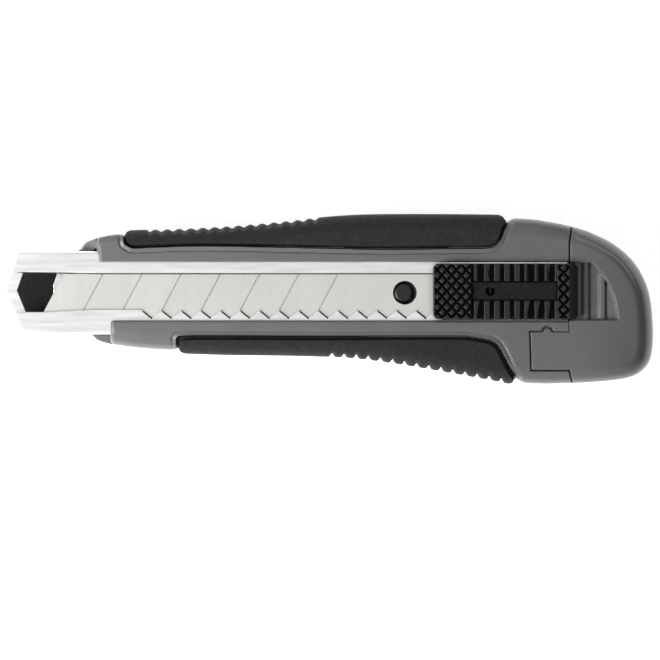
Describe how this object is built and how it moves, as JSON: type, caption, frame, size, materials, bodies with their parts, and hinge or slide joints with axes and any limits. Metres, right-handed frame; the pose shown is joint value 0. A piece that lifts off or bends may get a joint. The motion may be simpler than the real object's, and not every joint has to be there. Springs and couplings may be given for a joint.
{
  "type": "utility knife",
  "caption": "Snap-off utility knife with a steel blade channel, soft grips, a self-locking thumb slider, a blade store and a pull-off end cap.",
  "frame": {"origin": "on the flat back face, on the blade's centre line, halfway along the knife", "axes": "+X from the nose to the tail, +Y across the blade away from its cutting edge, +Z out of the front face"},
  "size_m": [0.1653, 0.0436, 0.0195],
  "materials": {
    "casing_plastic": "moulded grey ABS, satin",
    "grip_rubber": "matte overmoulded rubber",
    "channel_steel": "nickel-plated sheet",
    "blade_steel": "fine ground",
    "black_plastic": "moulded black",
    "spring_steel": "bright",
    "screw_steel": "black oxide"
  },
  "bodies": {
    "handle": {"casing_back": "casing_plastic", "casing_front": "casing_plastic", "upper_grip_back": "grip_rubber", "upper_grip_front": "grip_rubber", "lower_grip_back": "grip_rubber", "lower_grip_front": "grip_rubber", "blade_channel": "channel_steel", "nose_insert": "black_plastic", "casing_screws": "screw_steel", "spare_blade_lower": "blade_steel", "spare_blade_upper": "blade_steel"},
    "carriage": {"blade": "blade_steel", "blade_carrier": "black_plastic", "return_spring": "spring_steel", "lock_pin": "spring_steel", "lock_leaf": "spring_steel"},
    "lock": {"lock_lever": "spring_steel"},
    "slider": {"thumb_slider": "black_plastic", "slider_plate": "black_plastic"},
    "cap": {"end_cap": "casing_plastic"}
  },
  "joints": [
    {"name": "blade_slide", "type": "slide", "parent": "handle", "child": "carriage", "axis": [-1, 0, 0], "range_m": [0, 0.09]},
    {"name": "release", "type": "slide", "parent": "carriage", "child": "slider", "axis": [-1, 0, 0], "range_m": [0, 0.0015], "stiffness_N_per_m": 600, "deforming": ["return_spring"]},
    {"name": "lock_lift", "type": "hinge", "parent": "carriage", "child": "lock", "pos_m": [0.0588, -0.00235, 0.0153], "axis": [0, 0, -1], "range_deg": [0, 9.5], "deforming": ["lock_leaf"]},
    {"name": "cap_slide", "type": "slide", "parent": "handle", "child": "cap", "axis": [1, 0, 0], "range_m": [0, 0.042]}
  ],
  "couplings": [
    {"joint": "lock_lift", "follows": "release", "rad_per_m": 109.52}
  ]
}
